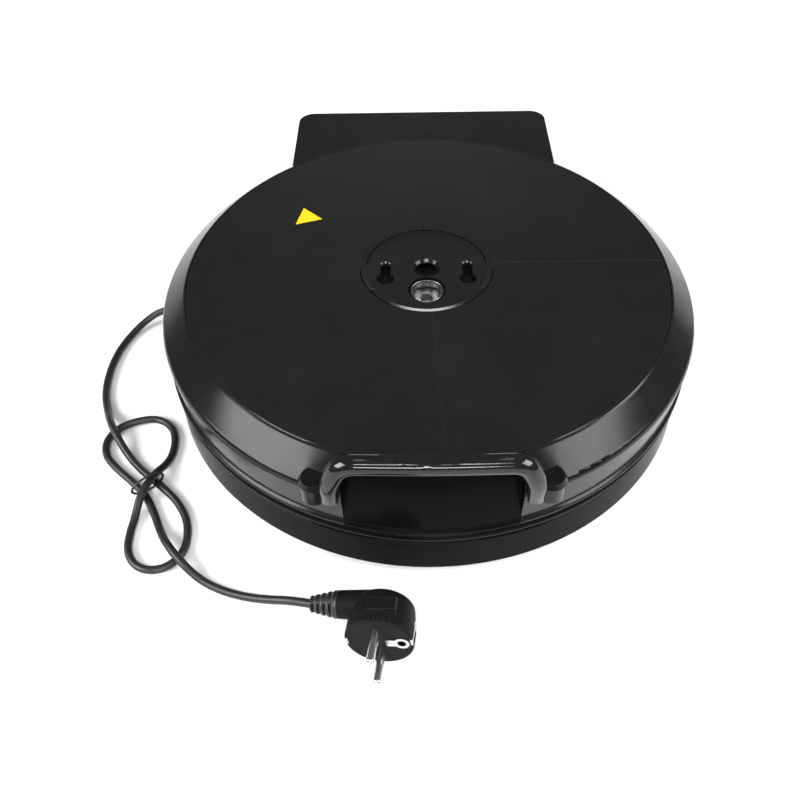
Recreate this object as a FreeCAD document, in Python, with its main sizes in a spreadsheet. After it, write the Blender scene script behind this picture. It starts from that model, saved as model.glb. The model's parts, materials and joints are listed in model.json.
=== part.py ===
# Waffle cone maker: round base and hinged lid, each with a heated plate.
# Millimetres, +Z up, front towards -Y. The origin is the middle of the footprint, on the table.
import FreeCAD, Part
import math
import os
import re
import Sketcher

Vector = FreeCAD.Vector

os.makedirs("parts", exist_ok=True)
doc = FreeCAD.newDocument("WaffleConeMaker")

# ---------------------------------------------------------------- driving dimensions
DIMENSIONS = {
    "plate_axis_y": -14.15,       # plate centre, measured from the middle of the footprint
    "wall": 3.0,                  # shell thickness
    "seam": 0.4,                  # joint between neighbouring covers
    # base
    "foot_height": 7.0,
    "foot_radius": 11.0,
    "base_bottom_radius": 175.4,
    "base_waist_radius": 173.6,
    "bead_radius": 175.7,
    "bead_low": 33.5,
    "base_top": 40.6,
    "base_opening_radius": 154.0,
    "pedestal_half_width": 90.0,
    "pedestal_front": 120.0,
    "pedestal_back": 198.0,
    "pedestal_top": 25.0,
    # lid
    "lid_radius": 175.0,
    "lid_bottom": 42.0,
    "lid_shoulder": 69.8,
    "lid_top": 85.0,
    "disc_radius": 156.8,
    "disc_seat_radius": 148.0,
    "ring_step_radius": 155.0,
    "panel_thickness": 3.0,
    "recess_radius": 43.6,
    "recess_floor_radius": 40.0,
    "recess_depth": 1.2,
    "recess_y": 4.0,
    "centre_hole_radius": 7.6,
    "centre_hole_chamfer": 1.6,
    "keyhole_spacing": 54.0,
    "keyhole_y": -6.6,
    "keyhole_radius": 5.9,
    "slot_radius": 3.5,
    "slot_length": 13.0,
    "slot_chamfer": 0.9,
    "stud_y": -17.6,
    "cup_hole_radius": 12.4,
    "cup_radius": 10.7,
    "cup_top": 82.8,
    "cup_floor": 74.5,
    "cup_wall": 1.0,
    "washer_radius": 7.4,
    "washer_thickness": 1.5,
    "stud_radius": 3.65,
    "stud_top": 77.2,
    "apron_half_width": 49.4,
    # plates and heaters
    "plate_radius": 152.0,
    "plate_thickness": 9.0,
    "lower_plate_top": 40.0,
    "upper_plate_bottom": 40.6,
    "pattern_radius": 140.0,
    "pattern_pitch": 14.0,
    "pattern_width": 4.0,
    "pattern_depth": 1.2,
    "element_radius": 95.0,
    "element_tube": 4.0,
    "reflector_radius": 147.0,
    "sheet": 1.2,
    "upper_reflector_radius": 160.0,
    "upper_reflector_bottom": 72.3,
    # hinge
    "hinge_y": 188.0,
    "hinge_height": 46.0,
    "pin_radius": 4.0,
    "pin_half_length": 78.0,
    "running_clearance": 0.05,
    "ear_x": 70.0,
    "arm_x": 63.0,
    "hinge_sheet": 4.0,
    "cover_half_width": 100.0,
    "cover_front": 122.0,
    "cover_back": 204.0,
    "cover_top": 82.0,
    "cover_corner": 12.0,
    "notch_width": 22.0,
    "notch_top": 62.0,
    # handle
    "handle_radius": 5.9,
    "handle_flat": 4.8,
    "lug_tip_radius": 8.6,
    # cord and plug
    "cord_radius": 2.5,
    "lead_radius": 1.2,
    "gland_height": 14.0,
    "plug_radius": 19.0,
    "plug_depth": 24.0,
    "pin_spacing": 19.0,
    "plug_pin_radius": 2.4,
    "plug_pin_length": 19.0,
}
dim = doc.addObject("Spreadsheet::Sheet", "Dim")
for row, (alias, value) in enumerate(DIMENSIONS.items(), start=1):
    dim.set("A%d" % row, alias.replace("_", " "))
    dim.set("B%d" % row, str(value))
    dim.setAlias("B%d" % row, alias)
doc.recompute()


def on_sheet(expression):
    """Expression over dimension names, written the way a property needs it."""
    def cell(match):
        word = match.group(0)
        return "Dim." + word if word in DIMENSIONS else word
    return re.sub(r"[a-z_]+", cell, str(expression))


def number(expression):
    """Present value of an expression over dimension names."""
    return float(dim.evalExpression(on_sheet(expression)))


def bind(feature, **properties):
    """Ties properties of a feature to the sheet. X, Y and Z are its place."""
    for name, expression in properties.items():
        path = "Placement.Base." + name.lower() if name in ("X", "Y", "Z") else name
        feature.setExpression(path, on_sheet(expression))


def size(alias):
    """Number in the sheet under this name."""
    return float(dim.get(alias))


nodes = []


def keep(feature, label, y="plate_axis_y"):
    """Marks a feature as a sub-part and puts it on the plate axis, or at the y given."""
    feature.Label = label
    feature.setExpression("Placement.Base.y", on_sheet(y))
    nodes.append(feature)
    return feature


# ---------------------------------------------------------------- primitives and booleans
def box(label, x, y, z, length, width, height):
    feature = doc.addObject("Part::Box", label)
    bind(feature, X=x, Y=y, Z=z, Length=length, Width=width, Height=height)
    return feature


DIRECTIONS = {
    "x": FreeCAD.Rotation(Vector(0, 1, 0), 90),
    "y": FreeCAD.Rotation(Vector(1, 0, 0), -90),
    "z": FreeCAD.Rotation(),
}


def cylinder(label, x, y, z, radius, height, along="z"):
    feature = doc.addObject("Part::Cylinder", label)
    feature.Placement = FreeCAD.Placement(Vector(), DIRECTIONS[along])
    bind(feature, X=x, Y=y, Z=z, Radius=radius, Height=height)
    return feature


def cone(label, x, y, z, low_radius, high_radius, height):
    feature = doc.addObject("Part::Cone", label)
    bind(feature, X=x, Y=y, Z=z, Radius1=low_radius, Radius2=high_radius, Height=height)
    return feature


def fuse(label, shapes):
    feature = doc.addObject("Part::MultiFuse", label)
    feature.Shapes = shapes
    return feature


def common(label, shapes):
    feature = doc.addObject("Part::MultiCommon", label)
    feature.Shapes = shapes
    return feature


def cut(label, base, tools):
    feature = doc.addObject("Part::Cut", label)
    feature.Base = base
    feature.Tool = tools[0] if len(tools) == 1 else fuse(label + "_tools", tools)
    return feature


def group(label, solids):
    """Several separate solids of one kind in one sub-part."""
    feature = doc.addObject("Part::Compound", label)
    feature.Links = solids
    return feature


# ---------------------------------------------------------------- sketched bodies
def origin_plane(body, role):
    return [part for part in body.Origin.OriginFeatures if part.Role == role][0]


def arc_between(start, end, radius):
    """Arc from start to end in the plane. A positive radius bulges to the right of the way."""
    middle = (start + end) * 0.5
    chord = end - start
    side = Vector(chord.y, -chord.x, 0).normalize()
    half = chord.Length / 2
    rise = abs(radius) - math.sqrt(radius * radius - half * half)
    bulge = middle + side * math.copysign(rise, radius)
    return Part.Arc(start, bulge, end)


def draw_outline(sketch, outline):
    """Closed outline through points (across, up) or (across, up, radius of the arc to it)."""
    points = [Vector(number(p[0]), number(p[1]), 0) for p in outline]
    count = len(points)
    ends = []
    for i in range(count):
        start, end = points[i - 1], points[i]
        if len(outline[i]) > 2:
            edge = arc_between(start, end, number(outline[i][2]))
            index = sketch.addGeometry(edge, False)
            first = sketch.getPoint(index, 1)
            forward = first.distanceToPoint(start) < first.distanceToPoint(end)
            ends.append((index, 1, 2) if forward else (index, 2, 1))
            pin = sketch.addConstraint(Sketcher.Constraint("Radius", index, abs(number(outline[i][2]))))
            sketch.setExpression("Constraints[%d]" % pin, "abs(%s)" % on_sheet(outline[i][2]))
        else:
            index = sketch.addGeometry(Part.LineSegment(start, end), False)
            ends.append((index, 1, 2))
    for i in range(count):
        line, low, high = ends[i]
        after = ends[(i + 1) % count]
        sketch.addConstraint(Sketcher.Constraint("Coincident", line, high, after[0], after[1]))
        for kind, axis, k in (("DistanceX", -2, 0), ("DistanceY", -1, 1)):
            if str(outline[i][k]) == "0":
                sketch.addConstraint(Sketcher.Constraint("PointOnObject", line, high, axis))
            else:
                tie = Sketcher.Constraint(kind, -1, 1, line, high, number(outline[i][k]))
                pin = sketch.addConstraint(tie)
                sketch.setExpression("Constraints[%d]" % pin, on_sheet(outline[i][k]))


def sketched(label, plane, outline):
    body = doc.addObject("PartDesign::Body", label)
    sketch = body.newObject("Sketcher::SketchObject", label + "_outline")
    sketch.AttachmentSupport = [(origin_plane(body, plane), "")]
    sketch.MapMode = "FlatFace"
    draw_outline(sketch, outline)
    return body, sketch


def turned(label, outline):
    """Body of revolution about +Z. The outline is (radius, height)."""
    body, sketch = sketched(label, "XZ_Plane", outline)
    feature = body.newObject("PartDesign::Revolution", label + "_turn")
    feature.Profile = sketch
    feature.ReferenceAxis = (sketch, ["V_Axis"])
    feature.Angle = 360
    return body


def padded(label, plane, outline, length, both_ways=False):
    body, sketch = sketched(label, plane, outline)
    feature = body.newObject("PartDesign::Pad", label + "_pad")
    feature.Profile = sketch
    feature.setExpression("Length", on_sheet(length))
    feature.Midplane = both_ways
    return body


def rounded_box(label, x, y, z, length, width, height, corner):
    """Box whose two upright edges at its back are rounded."""
    plain = box(label + "_plain", x, y, z, length, width, height)
    doc.recompute()
    back = plain.Shape.BoundBox.YMax
    edges = []
    for index, edge in enumerate(plain.Shape.Edges, start=1):
        low, high = edge.Vertexes[0].Point, edge.Vertexes[1].Point
        if abs(low.y - back) < 0.01 and abs(high.y - back) < 0.01 and abs(low.z - high.z) > 1:
            edges.append((index, number(corner), number(corner)))
    feature = doc.addObject("Part::Fillet", label)
    feature.Base = plain
    feature.Edges = edges
    return feature


# ---------------------------------------------------------------- bent round tubes
def bend_radii(points, share):
    """Arc radius at each inner point: a share of the shorter run over tan(half the turn)."""
    radii = []
    for before, here, after in zip(points, points[1:], points[2:]):
        shorter = min((here - before).Length, (after - here).Length)
        turn = (here - before).getAngle(after - here)
        radii.append(share * shorter / math.tan(turn / 2))
    return radii


def bent_wire(points, share=0.45):
    """Straight runs joined by tangent arcs."""
    edges = []
    last = points[0]
    for k, here in enumerate(points[1:-1], start=1):
        before = (points[k - 1] - here)
        after = (points[k + 1] - here)
        reach = share * min(before.Length, after.Length)
        start = here + before.normalize() * reach
        end = here + after.normalize() * reach
        turn = math.pi - before.getAngle(after)
        radius = reach / math.tan(turn / 2)
        inward = (before + after).normalize()
        middle = here + inward * (radius / math.cos(turn / 2) - radius)
        edges.append(Part.LineSegment(last, start).toShape())
        edges.append(Part.Arc(start, middle, end).toShape())
        last = end
    edges.append(Part.LineSegment(last, points[-1]).toShape())
    return Part.Wire(edges)


def tube_shape(points, radius, share=0.45):
    wire = bent_wire(points, share)
    start = points[0]
    along = points[1] - points[0]
    section = Part.Wire([Part.Circle(start, along, radius).toShape()])
    solid = wire.makePipeShell([section], True, False)
    expected = math.pi * radius * radius * wire.Length
    if abs(solid.Volume - expected) > 0.02 * expected:
        raise RuntimeError("tube volume %.0f, expected %.0f" % (solid.Volume, expected))
    return solid


def shaped(label, shape, placement=None):
    """Feature whose shape is worked out here, from sizes read off the sheet."""
    feature = doc.addObject("Part::Feature", label)
    feature.Shape = shape
    feature.Placement = placement or FreeCAD.Placement()
    return feature


def keep_placed(label, shape, placement):
    """Sub-part drawn about its own origin and put at a place measured from the plate axis."""
    feature = shaped(label, shape, placement)
    return keep(feature, label, "plate_axis_y + (%s)" % placement.Base.y)


# ================================================================ places shared by several parts
GLAND_AZIMUTH = 166.85            # degrees round the base, seen from above
GLAND_WALL_START = 171.0          # distances from the plate axis: inner face of the wall
GLAND_COLLAR = 175.2
GLAND_TIP = 193.4
POST_PLACES = [(125 * math.cos(math.radians(a)), 125 * math.sin(math.radians(a)))
               for a in (90, 210, 330)]


def gland_point(radius):
    angle = math.radians(GLAND_AZIMUTH)
    return Vector(radius * math.cos(angle), radius * math.sin(angle), size("gland_height"))


def gland_cylinder(start, end, radius):
    low = gland_point(start)
    return Part.makeCylinder(radius, end - start, low, gland_point(end) - low)


# ================================================================ base
def base_shell():
    outer = turned("base_shell_outer", [
        ("0", "foot_height"),
        ("base_bottom_radius - 0.6", "foot_height"),
        ("base_bottom_radius", "foot_height + 0.6", "0.6"),
        ("base_waist_radius", "bead_low - 3"),
        ("base_waist_radius - 1.4", "bead_low - 2"),
        ("base_waist_radius - 1.4", "bead_low"),
        ("0", "bead_low"),
    ])
    pedestal = rounded_box("pedestal_outer", "-pedestal_half_width", "pedestal_front", "foot_height",
                           "2 * pedestal_half_width", "pedestal_back - pedestal_front",
                           "pedestal_top - foot_height", "cover_corner")
    cavity = turned("base_shell_cavity", [
        ("0", "foot_height - 1"),
        ("base_bottom_radius - 8", "foot_height - 1"),
        ("base_bottom_radius - 8", "foot_height + wall"),
        ("base_bottom_radius - wall", "foot_height + 2 * wall"),
        ("base_waist_radius - 1.4 - wall", "bead_low - 2"),
        ("base_waist_radius - 1.4 - wall", "bead_low + 1"),
        ("0", "bead_low + 1"),
    ])
    hollow = rounded_box("pedestal_hollow", "-pedestal_half_width + wall", "pedestal_front",
                         "foot_height - 1",
                         "2 * (pedestal_half_width - wall)", "pedestal_back - wall - pedestal_front",
                         "pedestal_top - wall - foot_height + 1", "cover_corner - wall")
    hole = shaped("gland_hole", gland_cylinder(GLAND_WALL_START - 20, GLAND_WALL_START + 12, 5.5))
    whole = fuse("base_shell_whole", [outer, pedestal])
    keep(cut("base_shell", whole, [cavity, hollow, hole]), "base_shell")


def base_rim():
    keep(turned("base_rim", [
        ("base_opening_radius", "base_top - wall"),
        ("base_opening_radius", "base_top"),
        ("bead_radius - 2.6", "base_top"),
        ("bead_radius - 2.6", "bead_low", "-4.2"),
        ("base_waist_radius - 1.4 - wall", "bead_low"),
        ("base_waist_radius - 1.4 - wall", "base_top - wall"),
    ]), "base_rim")


def bottom_cover():
    disc = cylinder("bottom_disc", "0", "0", "foot_height", "base_bottom_radius - 8.4", "2")
    tail = rounded_box("bottom_tail", "-pedestal_half_width + wall + seam", "pedestal_front", "foot_height",
                       "2 * (pedestal_half_width - wall - seam)",
                       "pedestal_back - wall - seam - pedestal_front", "2", "cover_corner - wall")
    vents = []
    for row in range(9):
        vents.append(box("vent_%d" % row, "-22", str(-50 + 12 * row), "foot_height - 1",
                         "44", "4", "4"))
    for x, y in POST_PLACES:
        vents.append(cylinder("bottom_screw_hole", x, y, "foot_height - 1", "2.2", "4"))
    cover = cut("bottom_cover", fuse("bottom_whole", [disc, tail]), vents)
    keep(cover, "bottom_cover")


def feet():
    places = {"front_left": (-105, -98), "front_right": (105, -98),
              "back_left": (-68, 170), "back_right": (68, 170)}
    for name, (x, y) in places.items():
        foot = turned("foot_" + name, [
            ("0", "0"), ("foot_radius - 1", "0"), ("foot_radius", "1", "1"),
            ("foot_radius - 1", "foot_height"), ("0", "foot_height"),
        ])
        foot.setExpression("Placement.Base.x", str(x))
        keep(foot, "foot_" + name, "plate_axis_y + %s" % y)


def plate_posts():
    posts, screws = [], []
    for x, y in POST_PLACES:
        post = cylinder("post", x, y, "foot_height + 2", "6",
                        "lower_plate_top - plate_thickness - foot_height - 2")
        posts.append(cut("post_bored", post,
                         [cylinder("post_bore", x, y, "foot_height", "2", "14")]))
        head = cylinder("screw_head", x, y, "foot_height - 2", "4", "2")
        shank = cylinder("screw_shank", x, y, "foot_height - 1", "2", "13")
        screws.append(fuse("screw", [head, shank]))
    keep(group("plate_posts", posts), "plate_posts")
    keep(group("bottom_screws", screws), "bottom_screws")


# ================================================================ plates and heaters
def waffle_bars(turn):
    """Parallel bars over both plate faces, as a tool that cuts one way of the waffle pattern."""
    bars = []
    reach = number("pattern_radius")
    pitch = number("pattern_pitch")
    steps = int((reach - 4) // pitch)
    spin = FreeCAD.Rotation(Vector(0, 0, 1), turn)
    for k in range(-steps, steps + 1):
        bar = doc.addObject("Part::Box", "bar_%d_%d" % (turn, k + steps))
        half = math.sqrt(reach * reach - (k * pitch) ** 2)
        corner = spin.multVec(Vector(-half, k * pitch - number("pattern_width") / 2, 0))
        bar.Placement = FreeCAD.Placement(corner, spin)
        bar.Length = 2 * half
        bind(bar, Z="lower_plate_top - pattern_depth", Width="pattern_width",
             Height="upper_plate_bottom - lower_plate_top + 2 * pattern_depth")
        bars.append(bar)
    return group("waffle_bars_%d" % turn, bars)


def plates():
    bars = [waffle_bars(45), waffle_bars(135)]
    for name, low in (("lower_plate", "lower_plate_top - plate_thickness"),
                      ("upper_plate", "upper_plate_bottom")):
        blank = turned(name + "_blank", [
            ("0", low), ("plate_radius - 1", low), ("plate_radius", low + " + 1"),
            ("plate_radius", low + " + plate_thickness - 1"),
            ("plate_radius - 1", low + " + plate_thickness"), ("0", low + " + plate_thickness"),
        ])
        one_way = cut(name + "_one_way", blank, bars[:1])
        keep(cut(name, one_way, bars[1:]), name)


ELEMENT_GAP = 16                  # degrees between the two ends of a heater ring, at the back
ELEMENT_POINTS = 16
COLD_END = 11.0                   # upright length of each end
TERMINAL_LENGTH = 3.5


def element_end(side):
    """Place of one end of the heater ring, seen from above."""
    angle = math.radians(90 + side * ELEMENT_GAP / 2)
    return Vector(size("element_radius") * math.cos(angle), size("element_radius") * math.sin(angle), 0)


def element(name, height, direction):
    """Tubular ring heater with upright cold ends, and the pins in them."""
    middle = Vector(0, 0, number(height))
    rise = Vector(0, 0, direction * COLD_END)
    points = [element_end(1) + middle + rise]
    for k in range(ELEMENT_POINTS + 1):
        angle = math.radians(90 + ELEMENT_GAP / 2 + k * (360 - ELEMENT_GAP) / ELEMENT_POINTS)
        points.append(Vector(math.cos(angle), math.sin(angle), 0) * size("element_radius") + middle)
    points.append(element_end(-1) + middle + rise)
    keep(shaped(name, tube_shape(points, size("element_tube"))), name)
    pins = []
    for side in (-1, 1):
        foot = element_end(side) + middle + rise
        pins.append(Part.makeCylinder(1.5, TERMINAL_LENGTH, foot, rise))
    keep(shaped(name + "_terminals", Part.makeCompound(pins)), name + "_terminals")


def lower_reflector():
    low = "lower_plate_top - plate_thickness - 10.4"
    dish = turned("lower_reflector_dish", [
        ("0", low), ("reflector_radius", low), ("reflector_radius", low + " + 7"),
        ("reflector_radius - sheet", low + " + 7"), ("reflector_radius - sheet", low + " + sheet"),
        ("0", low + " + sheet"),
    ])
    holes = [cylinder("reflector_hole", x, y, low + " - 1", "7", "4") for x, y in POST_PLACES]
    for side in (-1, 1):
        end = element_end(side)
        holes.append(cylinder("terminal_hole", end.x, end.y, low + " - 1", "5.5", "4"))
    holes.append(cylinder("earth_hole", "-60", "20", low + " - 1", "3", "4"))
    keep(cut("lower_reflector", dish, holes), "lower_reflector")


def base_electrics():
    under = "lower_plate_top - plate_thickness"
    keep(cylinder("lower_thermostat", "0", "30", under + " - 8", "12", "8"),
         "lower_thermostat", "plate_axis_y + 30")
    keep(cylinder("thermal_fuse", "40", "0", under + " - 3", "3", "26", "x"), "thermal_fuse")
    keep(cylinder("earth_stud", "-60", "20", "11", "2", under + " - 11"), "earth_stud",
         "plate_axis_y + 20")
    block = box("terminal_block_body", "-132", "14", "foot_height + 2", "18", "34", "11")
    mouths = [cylinder("terminal_mouth", "-120", str(20 + 11 * k), "foot_height + 7.5", "1.4", "8", "x")
              for k in range(3)]
    keep(cut("terminal_block", block, mouths), "terminal_block")
    ends = {"lead_live": (31 + 11, [(-96, 44, 13), (-60, 74, 12.5), (-24, 100, 12.2), (-13.22, 96, 13)]),
            "lead_neutral": (31, [(-98, 32, 14), (-52, 44, 13.6), (-6, 78, 13.4), (13.22, 92, 13)]),
            "lead_earth": (20, [(-98, 20.6, 13.5), (-80, 19.4, 13.5), (-62, 20, 13.5)])}
    for name, (y, route) in ends.items():
        points = [Vector(-114, y, 14.5)] + [Vector(*p) for p in route]
        keep(shaped(name, tube_shape(points, size("lead_radius"), 0.4)), name)


# ================================================================ hinge
def hinge():
    plate = box("hinge_bracket_plate", "-ear_x - 10", "hinge_y - 12", "pedestal_top",
                "2 * ear_x + 20", "16", "2")
    parts = [plate]
    for side in (-1, 1):
        x = "%d * ear_x - hinge_sheet / 2" % side
        parts.append(box("ear", x, "hinge_y - 8", "pedestal_top", "hinge_sheet", "16",
                         "hinge_height - pedestal_top"))
        parts.append(cylinder("ear_round", x, "hinge_y", "hinge_height", "8", "hinge_sheet", "x"))
    bore = cylinder("ear_bore", "-ear_x - 10", "hinge_y", "hinge_height", "pin_radius",
                    "2 * ear_x + 20", "x")
    keep(cut("hinge_bracket", fuse("hinge_bracket_whole", parts), [bore]), "hinge_bracket")
    pin = cylinder("hinge_pin", "-pin_half_length", "0", "hinge_height", "pin_radius",
                   "2 * pin_half_length", "x")
    keep(pin, "hinge_pin", "plate_axis_y + hinge_y")
    spacers, clips = [], []
    for side in (-1, 1):
        gap = "(ear_x - arm_x - hinge_sheet)"
        inner = "%d * (ear_x + arm_x) / 2 - %s / 2 + 0.2" % (side, gap)
        ring = cylinder("spacer", inner, "hinge_y", "hinge_height", "6.5", gap + " - 0.4", "x")
        hole = cylinder("spacer_bore", inner + " - 1", "hinge_y", "hinge_height", "pin_radius", "8", "x")
        spacers.append(cut("spacer_ring", ring, [hole]))
        outer = "%d * (ear_x + hinge_sheet / 2 + 1) - 0.5" % side
        ring = cylinder("clip", outer, "hinge_y", "hinge_height", "6.5", "1", "x")
        hole = cylinder("clip_bore", outer + " - 1", "hinge_y", "hinge_height", "pin_radius", "4", "x")
        clips.append(cut("clip_ring", ring, [hole]))
    keep(group("hinge_spacers", spacers), "hinge_spacers")
    keep(group("pin_clips", clips), "pin_clips")
    screws = []
    for x in (-50, -15, 15, 50):
        head = cylinder("bracket_screw_head", str(x), "hinge_y - 8", "pedestal_top + 2", "3", "1.6")
        screws.append(head)
    keep(group("bracket_screws", screws), "bracket_screws")


def lid_arms():
    flat = "upper_reflector_bottom"
    for name, side in (("left", -1), ("right", 1)):
        bar = padded("lid_arm_%s_bar" % name, "YZ_Plane", [
            ("125", flat), ("156", flat), ("hinge_y + 4", "hinge_height + 7.5"),
            ("hinge_y - 7", "hinge_height - 4.8"), ("158", "56"), ("125", "65"),
        ], "hinge_sheet", True)
        bar.setExpression("Placement.Base.x", on_sheet("%d * arm_x" % side))
        hub = cylinder("hub", "%d * arm_x - hinge_sheet / 2" % side, "hinge_y", "hinge_height",
                       "8.5", "hinge_sheet", "x")
        flange = box("flange", "%d * arm_x - 12" % side, "125", flat + " - 2", "24", "20", "2")
        bores = [cylinder("hub_bore", "%d * arm_x - 10" % side, "hinge_y", "hinge_height",
                          "pin_radius + running_clearance", "20", "x")]
        bores += arm_screw_row("arm_hole", side, "2", flat + " - 4", "8")
        arm = cut("lid_arm_" + name, fuse("arm_whole", [bar, hub, flange]), bores)
        keep(arm, "lid_arm_" + name)
    screws = []
    for side in (-1, 1):
        shanks = arm_screw_row("arm_shank", side, "2", flat + " - 4", "6")
        heads = arm_screw_row("arm_head", side, "4", flat + " + sheet", "2")
        screws += [fuse("arm_screw", [a, b]) for a, b in zip(shanks, heads)]
    keep(group("arm_screws", screws), "arm_screws")


def arm_screw_row(label, side, radius, low, height):
    return [cylinder(label, "%d * arm_x + %d" % (side, x), "135", low, radius, height)
            for x in (-7, 7)]


# ================================================================ lid
RING_OUTLINE = [
    ("lid_radius - 4.2", "lid_bottom"),
    ("lid_radius - 0.4", "lid_bottom"),
    ("lid_radius - 0.4", "lid_bottom + 2.6", "1.6"),
    ("lid_radius - 1.6", "lid_bottom + 3.6"),
    ("lid_radius - 0.4", "lid_shoulder - 3"),
    ("lid_radius - 2.6", "lid_shoulder + 2.2", "5"),
    ("disc_radius + 1.6", "lid_top - 0.7"),
    ("disc_radius + 0.5", "lid_top - 0.1"),
    ("disc_radius + 0.5", "lid_top - panel_thickness"),
    ("disc_seat_radius", "lid_top - panel_thickness"),
    ("disc_seat_radius", "lid_top - panel_thickness - 2.6"),
    ("ring_step_radius", "lid_top - panel_thickness - 2.6"),
    ("ring_step_radius", "upper_reflector_bottom + sheet"),
    ("lid_radius - 6", "upper_reflector_bottom + sheet"),
    ("lid_radius - 3.4", "lid_shoulder - 3"),
    ("lid_radius - 4.2", "lid_bottom + 3.6"),
]
LUG_PLACES = [(-64, -159), (64, -159)]


def lid_ring():
    ring = turned("lid_ring_turned", RING_OUTLINE)
    lugs = []
    for x, y in LUG_PLACES:
        lugs.append(cylinder("lug", x, y, "lid_shoulder - 8", "lug_tip_radius", "12"))
        lugs.append(cone("lug_top", x, y, "lid_shoulder + 4", "lug_tip_radius", "lug_tip_radius - 1.6", "3"))
        lugs.append(cone("lug_foot", x, y, "lid_shoulder - 11", "lug_tip_radius - 3", "lug_tip_radius", "3"))
    whole = fuse("lid_ring_whole", [ring] + lugs)
    front = common("front_notch", [
        turned("front_notch_turned", [
            ("disc_radius + 0.5", "lid_top + 1"),
            ("disc_radius + 0.5", "lid_top - panel_thickness - 2.6"),
            ("ring_step_radius", "lid_top - panel_thickness - 2.6"), ("ring_step_radius", "lid_bottom - 1"),
            ("lid_radius + 2", "lid_bottom - 1"), ("lid_radius + 2", "lid_top + 1"),
        ]),
        box("front_notch_box", "-apron_half_width", "-lid_radius - 5", "lid_bottom - 2",
            "2 * apron_half_width", "lid_radius", "lid_top - lid_bottom + 4"),
    ])
    windows = [box("arm_window", "%d * arm_x - 5" % side, "146", "50", "10", "40",
                   "upper_reflector_bottom - 49.5") for side in (-1, 1)]
    room = [box("arm_room", "%d * arm_x - 13" % side, "120", "50", "26", "34",
                "upper_reflector_bottom + sheet + 2.4 - 50") for side in (-1, 1)]
    sockets = [shaped("leg_socket", leg_socket(side)) for side in (-1, 1)]
    keep(cut("lid_ring", whole, [front] + windows + room + sockets), "lid_ring")


def lid_panel():
    top = "lid_top"
    disc = turned("lid_panel_turned", [
        ("0", top + " - recess_depth - 2.8"),
        ("recess_radius + 6", top + " - recess_depth - 2.8"),
        ("recess_radius + 9", top + " - panel_thickness"), ("disc_radius", top + " - panel_thickness"),
        ("disc_radius", top + " - 0.5"), ("disc_radius - 0.5", top), ("0", top),
    ])
    floor = top + " - recess_depth"
    holes = [
        cone("recess_slope", "0", "recess_y", floor, "recess_floor_radius", "recess_radius", "recess_depth"),
        cylinder("centre_hole", "0", "recess_y", floor + " - 4", "centre_hole_radius", "6"),
        cone("centre_dimple", "0", "recess_y", floor + " - centre_hole_chamfer", "centre_hole_radius",
             "centre_hole_radius + 2 * centre_hole_chamfer", "2 * centre_hole_chamfer"),
        cylinder("cup_hole", "0", "stud_y", floor + " - 4", "cup_hole_radius", "6"),
        box("seam_right", "recess_radius", "7.2", top + " - 0.4", "disc_radius", "0.5", "1"),
        box("nick_back", "-1.4", "recess_y + recess_floor_radius", floor + " - 0.5", "0.8", "5", "4"),
    ]
    seam = doc.addObject("Part::Box", "seam_front")
    lean = FreeCAD.Rotation(Vector(0, 0, 1), 2.3)
    seam.Placement = FreeCAD.Placement(lean.multVec(Vector(1.2, -number("disc_radius + 4"), 0)), lean)
    bind(seam, Z=top + " - 0.4", Length="0.5", Height="1",
         Width="disc_radius + 4 - recess_radius + recess_y")
    holes.append(seam)
    for side in (-1, 1):
        x = "%d * keyhole_spacing / 2" % side
        holes.append(cylinder("keyhole", x, "keyhole_y", floor + " - 4", "keyhole_radius", "6"))
        holes.append(box("keyhole_slot", x + " - slot_radius", "keyhole_y", floor + " - 4",
                         "2 * slot_radius", "slot_length", "6"))
        holes.append(cylinder("slot_end", x, "keyhole_y + slot_length", floor + " - 4",
                              "slot_radius", "6"))
        holes.append(cone("slot_end_chamfer", x, "keyhole_y + slot_length", floor + " - slot_chamfer",
                          "slot_radius", "slot_radius + 2 * slot_chamfer", "2 * slot_chamfer"))
    keep(cut("lid_panel", disc, holes), "lid_panel")


def front_panel():
    skin = turned("front_panel_turned", [
        ("disc_radius + 0.6", "lid_top - 0.4"),
        ("lid_radius - 1.4", "lid_bottom + 5", "-96"),
        ("lid_radius - 1.6", "lid_bottom + 3.6"),
        ("lid_radius - 0.4", "lid_bottom + 2.6"),
        ("lid_radius - 0.4", "lid_bottom", "-1.6"),
        ("lid_radius - 4.2", "lid_bottom"),
        ("lid_radius - 4.4", "lid_bottom + 5"),
        ("ring_step_radius + 0.2", "lid_top - panel_thickness - 2.7", "93"),
        ("disc_radius + 0.6", "lid_top - panel_thickness - 2.7"),
    ])
    slab = box("front_panel_slab", "-apron_half_width + seam", "-lid_radius - 5", "lid_bottom - 2",
               "2 * (apron_half_width - seam)", "lid_radius", "lid_top - lid_bottom + 4")
    keep(common("front_panel", [skin, slab]), "front_panel")


def hinge_cover():
    outer = rounded_box("hinge_cover_outer", "-cover_half_width", "cover_front", "hinge_height",
                        "2 * cover_half_width", "cover_back - cover_front",
                        "cover_top - hinge_height", "cover_corner")
    inner = rounded_box("hinge_cover_inner", "-cover_half_width + wall", "cover_front", "hinge_height - 1",
                        "2 * (cover_half_width - wall)", "cover_back - wall - cover_front",
                        "cover_top - wall - hinge_height + 1", "cover_corner - wall")
    lid = turned("lid_envelope", [
        ("0", "hinge_height - 2"), ("lid_radius + 0.2", "hinge_height - 2"),
        ("lid_radius + 0.2", "lid_shoulder + 0.6"), ("disc_radius + 0.8", "lid_top + 1"),
        ("0", "lid_top + 1"),
    ])
    tools = [inner, lid]
    for side in (-1, 1):
        tools.append(box("ear_notch", "%d * ear_x - notch_width / 2" % side, "hinge_y + 4",
                         "hinge_height - 1", "notch_width", "20", "notch_top - hinge_height + 1"))
    keep(cut("hinge_cover", outer, tools), "hinge_cover")


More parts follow.
